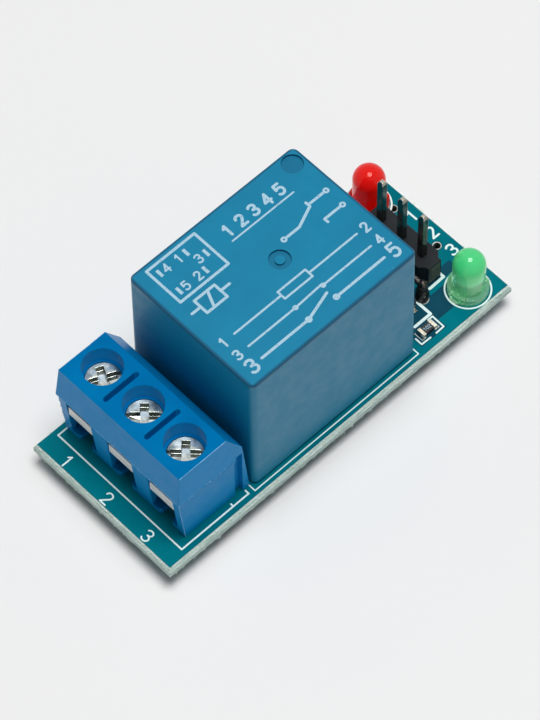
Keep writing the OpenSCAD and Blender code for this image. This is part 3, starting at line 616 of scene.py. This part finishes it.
def relay_print():
    """A pin plan, a legend, a wiring symbol and a contact table, with plain pin numbers only."""
    ink = Sheet()
    fine, bold = 0.17, 0.26
    # plan of the five pins inside the relay's outline
    ink.line([(-8.1, 2.7), (-2.6, 2.7), (-2.6, 6.9), (-8.1, 6.9)], bold, closed=True)
    plan = ((-7.4, 6.0, "4"), (-7.4, 3.6, "5"), (-4.4, 6.0, "1"), (-4.4, 3.6, "2"), (-3.2, 4.8, "3"))
    for x, y, number in plan:
        ink.box(x - 0.15, x + 0.15, y - 0.4, y + 0.4)
        ink.digits(number, x + (0.5 if number in "45" else -1.1), y - 0.42, 0.84, fine)
    # scale of the pins' order
    for i, number in enumerate("12345"):
        ink.digits(number, -0.7 + 1.5 * i, 4.6, 1.1, bold)
    ink.line([(-0.8, 4.1), (6.3, 4.1)], fine)
    # coil and changeover contact
    ink.line([(-7.2, 0.4), (-4.9, 0.4), (-4.9, 2.0), (-7.2, 2.0)], bold, closed=True)
    ink.line([(-8.2, 1.2), (-7.2, 1.2)], bold)
    ink.line([(-4.9, 1.2), (-3.9, 1.2)], bold)
    ink.line([(-6.4, 0.4), (-5.7, 2.0)], bold)
    ink.line([(2.6, 1.2), (4.2, 1.2), (6.3, 2.1)], bold)
    ink.line([(6.3, 2.6), (6.3, 2.3), (8.2, 2.3)], bold)
    ink.line([(6.3, -0.1), (6.3, 0.3), (8.2, 0.3)], bold)
    for x, y in ((2.4, 1.2), (8.4, 2.3), (8.4, 0.3)):
        ink.ring(x, y, 0.1, 0.3, steps=16)
    # table of contacts: the coil, the one closed at rest and the one open at rest
    rows = (("1", "2", -3.1, 0.9, 0.2), ("3", "4", -4.8, 0.9, 0.2), ("3", "5", -6.6, 1.3, bold))
    for first, last, y, height, width in rows:
        middle = y + height / 2
        ink.digits(first, -8.5, y, height, width)
        ink.digits(last, 7.9, y, height, width)
        ink.line([(-7.0, middle), (-1.6, middle)], width)
        ink.line([(1.6, middle), (7.2, middle)], width)
    for x in (-1.6, 1.6):
        ink.ring(x, -4.35, 0.0, 0.26, steps=16)
        ink.ring(x, -5.95, 0.0, 0.32, steps=16)
    ink.line([(-1.6, -3.1), (1.6, -3.1), (1.6, -2.2), (-1.6, -2.2)], 0.2, closed=True)
    ink.line([(-1.6, -4.35), (1.6, -4.2)], 0.2)
    ink.line([(-1.6, -5.95), (1.3, -5.1)], bold)
    ink.solid("relay_print", COVER_HIGH.z, COVER_HIGH.z + 0.004, "print", "module")


relay_print()


# ---------------------------------------------------------------- copper, plating and solder

def ringed_holes():
    """The holes whose tinned rings show: header, lamps and diode, each with the radius of its pad."""
    places = [(p.x, p.y, 0.8) for p in PIN_PLACES]
    for lamp in (GREEN, RED):
        places += [(lamp.x + side * 1.27, lamp.y, 0.75) for side in (-1, 1)]
    low, high = node_box("diode_leads")
    places += [((low.x + high.x) / 2, y, 0.62) for y in (low.y + 0.3, high.y - 0.3)]
    return places


def covered_holes():
    """The holes below the relay and the terminal block, each with the radius of its pad."""
    radius = 1.0
    low, _ = node_box("relay_com_pin")
    places = [(low.x + 0.25, 0.0, radius)]
    low, high = node_box("relay_coil_pins")
    places += [((low.x + high.x) / 2, y, radius) for y in (low.y + 0.25, high.y - 0.25)]
    low, high = node_box("relay_nc_terminal")
    places.append(((low.x + high.x) / 2, high.y - 0.5, radius))
    low, high = node_box("relay_no_terminal")
    places.append(((low.x + high.x) / 2, low.y + 0.5, radius))
    for number in POLES:
        low, high = node_box("terminal_contact_" + number)
        places.append((high.x - 0.5, (low.y + high.y) / 2, radius))
    return places


# the board's unused plated holes: their places, measured from the lamps, and their radii
SPARE_INSET = 1.23
SPARE_DROPS = (1.9, 7.4)
SPARE_HOLES = [(GREEN.x + SPARE_INSET, RED.y - drop) for drop in SPARE_DROPS]
SPARE_BORE = 0.28
SPARE_BARREL = 0.35
COPPER_RISE = 0.012
PAD_RISE = 0.02


def board_faces(rise):
    """The board's two faces, and the heights between which a layer as thick as rise lies on each."""
    return (("top", BOARD_TOP, BOARD_TOP + rise), ("bottom", BOARD_BOTTOM - rise, BOARD_BOTTOM))


def copper_areas(sheet):
    """Ground copper along the edges, and the traces between the header and the driver parts."""
    edge = 0.27
    x0, x1 = BOARD_LOW.x + edge, BOARD_HIGH.x - edge
    y0, y1 = BOARD_LOW.y + edge, BOARD_HIGH.y - edge
    sheet.box(x0, 10.4, y0, y1)
    sheet.box(10.3, x1, -2.95, y1)
    sheet.box(10.3, x1, y0, -7.7)
    sheet.box(13.45, x1, y0, -6.7)
    sheet.box(18.5, x1, y0, y1)
    sheet.box(13.9, 18.6, -4.46, -3.98)


def board_copper():
    """The mask stands a little higher where it covers copper."""
    for face, z0, z1 in board_faces(COPPER_RISE):
        sheet = Sheet()
        copper_areas(sheet)
        for x, y, radius in ringed_holes() + covered_holes():
            sheet.hole(x, y, radius + 0.2)
        for x, y in SPARE_HOLES:
            sheet.hole(x, y, SPARE_BARREL + 0.15)
        sheet.solid("copper_" + face, z0, z1, "copper_mask", "module")


board_copper()


def plated_pads():
    """Tinned rings on both faces: wide where a pin is soldered, thin round the spare holes."""
    for face, z0, z1 in board_faces(PAD_RISE):
        sheet = Sheet()
        for x, y, radius in ringed_holes():
            sheet.ring(x, y, 0.5, radius, steps=32)
        for x, y in SPARE_HOLES:
            sheet.ring(x, y, SPARE_BARREL, SPARE_BARREL + 0.07, steps=32)
        sheet.solid("pads_" + face, z0, z1, "pad", "module")


plated_pads()


def plated_barrels():
    """The spare holes are plated through; the plating inside is painted dark as the shade in the holes."""
    bm = bmesh.new()
    steps = 28
    section = ((SPARE_BORE, BOARD_BOTTOM), (SPARE_BORE, BOARD_TOP), (SPARE_BARREL, BOARD_TOP),
               (SPARE_BARREL, BOARD_BOTTOM))
    for x, y in SPARE_HOLES:
        loops = [[bm.verts.new((px, py, z)) for px, py in arc(x, y, radius, 0, 360, steps)[:-1]]
                 for radius, z in section]
        for a, b in zip(loops, loops[1:] + loops[:1]):
            for i in range(steps):
                bm.faces.new((a[i], a[(i + 1) % steps], b[(i + 1) % steps], b[i]))
    finish_piece("plated_barrels", bm, "barrel", "module", smooth=True)


plated_barrels()


# ---------------------------------------------------------------- solder and the chips' ends

def soldered_lead():
    """The rough dark solder that stands up round the diode's near lead."""
    low, high = node_box("diode_leads")
    x, y = (low.x + high.x) / 2 + 0.1, low.y + 0.42
    dice = random.Random(11)
    waves = [(dice.uniform(0.03, 0.09), dice.randint(2, 7), dice.uniform(0, 6.3), dice.uniform(3, 9))
             for _ in range(9)]

    def wobble(angle, z):
        swing = sum(a * math.sin(n * angle + shift + z * rise) for a, n, shift, rise in waves)
        return 1.0 + swing * 0.6

    profile = [(0.0, 0.0), (0.6, 0.0), (0.62, 0.15)]
    profile += [(0.6 - 0.012 * i, 0.15 + 0.15 * i) for i in range(1, 15)]
    profile += [(0.34, 2.42), (0.16, 2.6), (0.0, 2.64)]
    bm = bmesh.new()
    lathe(bm, x, y, [(r, BOARD_TOP + z) for r, z in profile], steps=40, wobble=wobble)
    finish_piece("soldered_lead", bm, "lead", "module", smooth=True)


def chip_lands():
    """Pads under the chips' caps, with the solder drawn up each end."""
    pads = Sheet()
    bm = bmesh.new()
    for number in POLES:
        low, high = node_box("resistor_" + number)
        y0, y1 = low.y - 0.06, high.y + 0.06
        for end, out in ((low.x, -1), (high.x, 1)):
            inner, outer = end - out * 0.2, end + out * 0.3
            pads.box(min(inner, outer), max(inner, outer), y0 - 0.04, y1 + 0.04)
            face, toe = end + out * 0.035, end + out * 0.26
            z0, z1 = BOARD_TOP + 0.01, BOARD_TOP + 0.36
            foot = [(face, y0, z0), (toe, y0, z0), (toe, y1, z0), (face, y1, z0)]
            hollow = face + out * 0.09
            crest = [(face, y0, z1), (hollow, y0, z0 + 0.1), (hollow, y1, z0 + 0.1), (face, y1, z1)]
            block(bm, foot + crest)
    pads.solid("chip_pads", BOARD_TOP, BOARD_TOP + PAD_RISE, "pad", "module")
    finish_piece("chip_fillets", bm, "solder", "module")


def chip_values():
    ink = Sheet()
    for number in POLES:
        low, _ = node_box("resistor_" + number)
        ink.digits("102", low.x + 0.41, low.y + 0.23, 0.34, 0.05, pitch=0.78)
    top = node_box("resistor_1")[1].z
    ink.solid("chip_values", top, top + 0.006, "print", "module")


soldered_lead()
chip_lands()
chip_values()


# ---------------------------------------------------------------- burrs, broken ends and loose fibres

def burr(bm, start, end, out, size, step, dice):
    """A ragged crest along a line: a thin closed strip whose edge stands out by up to size mm."""
    start, end, out = Vector(start), Vector(end), Vector(out).normalized()
    along = end - start
    count = max(2, int(along.length / step))
    side = along.normalized().cross(out) * 0.035
    rows = []
    for i in range(count + 1):
        place = start + along * (i / count)
        reach = size * dice.choice((0.15, 0.2, 0.3, 0.45, 1.0)) * dice.uniform(0.6, 1.0)
        lean = side * dice.uniform(-0.6, 0.6)
        rows.append([bm.verts.new(p) for p in (place - side - out * 0.03, place + side - out * 0.03,
                                               place + out * reach + lean)])
    for a, b in zip(rows, rows[1:]):
        for i in range(3):
            bm.faces.new((a[i], b[i], b[(i + 1) % 3], a[(i + 1) % 3]))
    bm.faces.new(rows[0])
    bm.faces.new(list(reversed(rows[-1])))


# the housing's parting line, and how far its walls stand back below and above it
PARTING_Z = BOARD_TOP + 6.3
LOWER_STEP = 0.1
FOOT_LEAN = 0.6
NOSE_LEAN = 0.4
END_DRAFT = 0.12
# how far behind the front the joining groove starts, and the flat top ends
GROOVE_X = 6.55
RIDGE_X = 5.75
# the joining ribs stand out of the housing's far end
RIB_REACH = 0.42
FAR_END = BLOCK_HIGH.y - RIB_REACH


def terminal_flash():
    """Flash squeezed out along the parting line of the housing and down its end corners."""
    bm = bmesh.new()
    dice = random.Random(5)
    x0 = BLOCK_LOW.x
    for y, out in ((BLOCK_LOW.y, -1), (FAR_END, 1)):
        z, proud = PARTING_Z - 0.05, 0.1
        burr(bm, (x0, y + out * proud, z), (x0 + GROOVE_X, y + out * proud, z),
             (0, out, -0.8), 0.1, 0.13, dice)
        burr(bm, (x0 + LOWER_STEP, y - out * LOWER_STEP, PARTING_Z),
             (x0 + LOWER_STEP + FOOT_LEAN, y - out * LOWER_STEP, BOARD_TOP + 0.05),
             (-1, out, 0), 0.15, 0.14, dice)
        crest_y = y - out * END_DRAFT
        burr(bm, (x0 + NOSE_LEAN, crest_y, BLOCK_HIGH.z), (x0 + RIDGE_X, crest_y, BLOCK_HIGH.z),
             (0, out, 0.05), 0.05, 0.2, dice)
    burr(bm, (x0, BLOCK_LOW.y, PARTING_Z), (x0, FAR_END, PARTING_Z), (-1, 0, -0.4), 0.05, 0.22, dice)
    finish_piece("terminal_flash", bm, "flash", "module")


def parting_ledge():
    """The upper half of the mould was a little wide: its edge overhangs the lower half at both ends."""
    bm = bmesh.new()
    dice = random.Random(21)
    count, proud = 46, 0.12
    x0, z0 = BLOCK_LOW.x, PARTING_Z
    z1 = BLOCK_HIGH.z - 0.04
    for y, out in ((BLOCK_LOW.y, -1), (FAR_END, 1)):
        rows = []
        for i in range(count + 1):
            t = i / count
            low_x = x0 + 0.02 + (GROOVE_X - 0.02) * t
            high_x = x0 + NOSE_LEAN + (RIDGE_X - NOSE_LEAN) * t
            reach = proud + dice.uniform(-0.02, 0.04)
            section = ((low_x, y - out * (LOWER_STEP + 0.02), z0 - 0.05),
                       (low_x, y + out * reach, z0 - 0.04),
                       (low_x, y + out * proud, z0 + 0.06),
                       (high_x, y - out * (END_DRAFT - 0.006), z1),
                       (high_x, y - out * (END_DRAFT + 0.1), z1))
            rows.append([bm.verts.new(p) for p in section])
        for a, b in zip(rows, rows[1:]):
            for k in range(5):
                bm.faces.new((a[k], b[k], b[(k + 1) % 5], a[(k + 1) % 5]))
        bm.faces.new(rows[0])
        bm.faces.new(list(reversed(rows[-1])))
    finish_piece("parting_ledge", bm, "terminal", "module")


def board_fibres():
    """Torn glass fibre along the broken edges of the board, inside the corner that the break took off."""
    bm = bmesh.new()
    dice = random.Random(8)
    score = 0.25
    for z, up in ((BOARD_TOP, 1), (BOARD_BOTTOM, -1)):
        for side, far in ((BOARD_LOW, -1), (BOARD_HIGH, 1)):
            y = side.y - far * score * 0.75
            burr(bm, (BOARD_LOW.x + score, y, z - up * 0.14), (BOARD_HIGH.x - score, y, z - up * 0.14),
                 (0, far, up * 0.5), 0.18, 0.15, dice)
            x = side.x - far * score * 0.75
            burr(bm, (x, BOARD_LOW.y + score, z - up * 0.14), (x, BOARD_HIGH.y - score, z - up * 0.14),
                 (far, 0, up * 0.5), 0.18, 0.15, dice)
    finish_piece("board_fibres", bm, "fibre", "module")


def header_break():
    """The header was snapped off a longer strip: its ends are torn."""
    low, high = node_box("header_strip")
    bm = bmesh.new()
    dice = random.Random(3)
    columns, rows = 9, 9
    x0, x1 = low.x + 0.62, high.x - 0.62
    z0, z1 = low.z + 0.15, high.z - 0.2
    for y, out in ((low.y, -1), (high.y, 1)):
        front, back = [], []
        for i in range(columns + 1):
            for j in range(rows + 1):
                x, z = x0 + (x1 - x0) * i / columns, z0 + (z1 - z0) * j / rows
                rim = i in (0, columns) or j in (0, rows)
                proud = 0.0 if rim else dice.uniform(0.01, 0.12)
                front.append(bm.verts.new((x, y + out * proud, z)))
                back.append(bm.verts.new((x, y - out * 0.05, z)))
        tall = rows + 1
        quads = [(i * tall + j, (i + 1) * tall + j, (i + 1) * tall + j + 1, i * tall + j + 1)
                 for i in range(columns) for j in range(rows)]
        used = set()
        for quad in quads:
            bm.faces.new([front[k] for k in quad])
            bm.faces.new([back[k] for k in reversed(quad)])
            used.update(zip(quad, quad[1:] + quad[:1]))
        for i, j in sorted(used):
            if (j, i) not in used:
                bm.faces.new((front[j], front[i], back[i], back[j]))
    finish_piece("header_break", bm, "break", "module")


def lamp_dies():
    """The chip in each lamp's cup, and the gold wire that joins it to the other lead."""
    for colour, centre in (("green", GREEN), ("red", RED)):
        _, high = node_box("led_%s_cathode" % colour)
        cup = Vector((centre.x + 0.4, centre.y, high.z - 0.2))
        post = Vector((centre.x - 0.55, centre.y, node_box("led_%s_anode" % colour)[1].z))
        bm = bmesh.new()
        a = 0.1
        foot = [(cup.x + i * a, cup.y + j * a, cup.z - 0.04)
                for i, j in ((-1, -1), (1, -1), (1, 1), (-1, 1))]
        block(bm, foot + [(x, y, cup.z + 0.08) for x, y, _ in foot])
        rings = []
        for i in range(13):
            t = i / 12
            place = post.lerp(cup + Vector((0, 0, 0.08)), t) + Vector((0, 0, 0.9 * t * (1 - t)))
            rings.append([bm.verts.new(place + Vector((0, 0.025 * math.cos(w), 0.025 * math.sin(w))))
                          for w in (0.0, 2.1, 4.2)])
        for p, q in zip(rings, rings[1:]):
            for k in range(3):
                bm.faces.new((p[k], q[k], q[(k + 1) % 3], p[(k + 1) % 3]))
        bm.faces.new(rings[0])
        bm.faces.new(list(reversed(rings[-1])))
        finish_piece("led_%s_bond" % colour, bm, "gold", "module")


terminal_flash()
parting_ledge()
board_fibres()
header_break()
lamp_dies()


# ---------------------------------------------------------------- floor, light and camera

FLOOR_TONE = tone(239, 239, 239)
SKY = 0.21
# the photo's camera, solved from the pitches of the header and the terminal block and, more loosely,
# from the usual sizes of the board and the relay
CAMERA_PLACE = (-0.122961, -0.132557, 0.300205)
CAMERA_TURN = (31.3646, 0.6216, -43.7314)
CAMERA_LENS = 199.53


def floor():
    size = 2.0
    mesh = bpy.data.meshes.new("floor")
    corners = [(-size, -size, 0), (size, -size, 0), (size, size, 0), (-size, size, 0)]
    mesh.from_pydata(corners, [], [(0, 1, 2, 3)])
    piece = bpy.data.objects.new("floor", mesh)
    bpy.context.scene.collection.objects.link(piece)
    s = Surface("floor_paper", FLOOR_TONE, 0.9, Specular_IOR_Level=0.0)
    s.color(s.blend(s.fade(s.noise(40.0, 2.0), 0.3, 0.7), FLOOR_TONE, tone(238, 238, 238)))
    mesh.materials.append(s.mat)


def world():
    """Even pale surroundings; the camera, gloss and glass see the backdrop's own tone."""
    w = bpy.data.worlds.new("studio")
    bpy.context.scene.world = w
    w.use_nodes = True
    tree = w.node_tree
    light = tree.nodes["Background"]
    light.inputs["Color"].default_value = (1, 1, 1, 1)
    light.inputs["Strength"].default_value = SKY
    seen = tree.nodes.new("ShaderNodeBackground")
    seen.inputs["Color"].default_value = FLOOR_TONE
    seen.inputs["Strength"].default_value = 1.0
    path = tree.nodes.new("ShaderNodeLightPath")
    rays = tree.nodes.new("ShaderNodeMath")
    rays.operation = "MAXIMUM"
    tree.links.new(path.outputs["Is Camera Ray"], rays.inputs[0])
    glass = tree.nodes.new("ShaderNodeMath")
    glass.operation = "MAXIMUM"
    tree.links.new(path.outputs["Is Glossy Ray"], glass.inputs[0])
    tree.links.new(path.outputs["Is Transmission Ray"], glass.inputs[1])
    tree.links.new(glass.outputs["Value"], rays.inputs[1])
    mix = tree.nodes.new("ShaderNodeMixShader")
    tree.links.new(rays.outputs["Value"], mix.inputs["Fac"])
    tree.links.new(light.outputs["Background"], mix.inputs[1])
    tree.links.new(seen.outputs["Background"], mix.inputs[2])
    tree.links.new(mix.outputs["Shader"], tree.nodes["World Output"].inputs["Surface"])


def lamp(name, place, size, power):
    """A square softbox that faces the object."""
    data = bpy.data.lights.new(name, "AREA")
    data.shape = "SQUARE"
    data.size = size
    data.energy = power
    obj = bpy.data.objects.new(name, data)
    bpy.context.scene.collection.objects.link(obj)
    obj.location = place
    obj.rotation_euler = (-Vector(place)).to_track_quat("-Z", "Y").to_euler()


floor()
world()
lamp("key", (0.04, -0.05, 0.8), 0.38, 5.5)


def camera():
    data = bpy.data.cameras.new("camera")
    data.lens = CAMERA_LENS
    data.sensor_width = 36.0
    data.sensor_fit = "AUTO"
    data.clip_start = 0.01
    data.clip_end = 10.0
    obj = bpy.data.objects.new("camera", data)
    bpy.context.scene.collection.objects.link(obj)
    obj.location = CAMERA_PLACE
    obj.rotation_euler = [math.radians(a) for a in CAMERA_TURN]
    bpy.context.scene.camera = obj


camera()
bpy.context.scene.view_settings.view_transform = "Standard"
